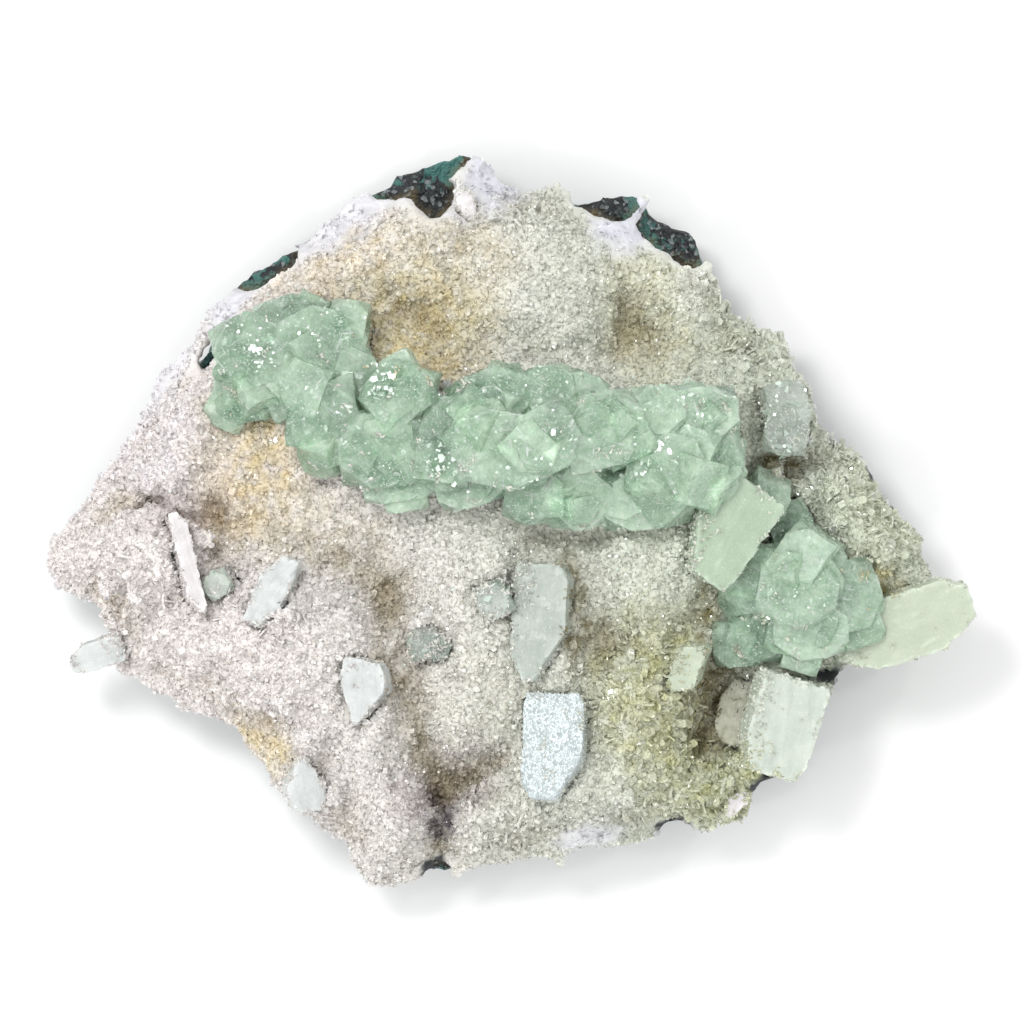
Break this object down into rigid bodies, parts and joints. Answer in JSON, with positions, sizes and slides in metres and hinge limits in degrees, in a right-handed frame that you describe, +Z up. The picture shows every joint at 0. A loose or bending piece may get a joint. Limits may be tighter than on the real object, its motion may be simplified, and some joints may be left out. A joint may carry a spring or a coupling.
{
  "type": "mineral specimen",
  "caption": "Slab of basalt with a druse of pale heulandite, a belt of square mint green apophyllite crystals across it, and bladed white stilbite crystals.",
  "frame": {"origin": "middle of the bounding box on the flat broken underside, which the specimen lies on", "axes": "+Z up out of the crystal face, +Y towards the top edge of the crystal face as it is shown, +X to its right"},
  "size_m": [0.1868, 0.1482, 0.0531],
  "materials": {
    "basalt": "rough",
    "heulandite": "rough",
    "stilbite": "satin",
    "apophyllite": "gloss",
    "clear_apophyllite": "gloss"
  },
  "bodies": {
    "root": {"basalt_matrix": "basalt", "heulandite_crust": "heulandite", "apophyllite_belt": "apophyllite", "apophyllite_cluster_right": "apophyllite", "apophyllite_small_centre": "apophyllite", "apophyllite_mound_centre": "apophyllite", "apophyllite_clear_right": "clear_apophyllite", "apophyllite_point_left": "clear_apophyllite", "stilbite_blade_centre": "stilbite", "stilbite_plate_white": "stilbite", "stilbite_tablet_pale": "stilbite", "stilbite_blade_right_tip": "stilbite", "stilbite_fan_lower_right": "stilbite", "stilbite_tablet_hollow": "stilbite", "stilbite_blade_left": "stilbite", "stilbite_blade_mound": "stilbite", "stilbite_tablet_mound": "stilbite", "stilbite_tablet_lower_left": "stilbite", "stilbite_blade_far_left": "stilbite", "stilbite_blade_foot": "stilbite", "stilbite_blade_hollow_rim": "stilbite", "stilbite_blade_top": "stilbite"}
  },
  "joints": []
}
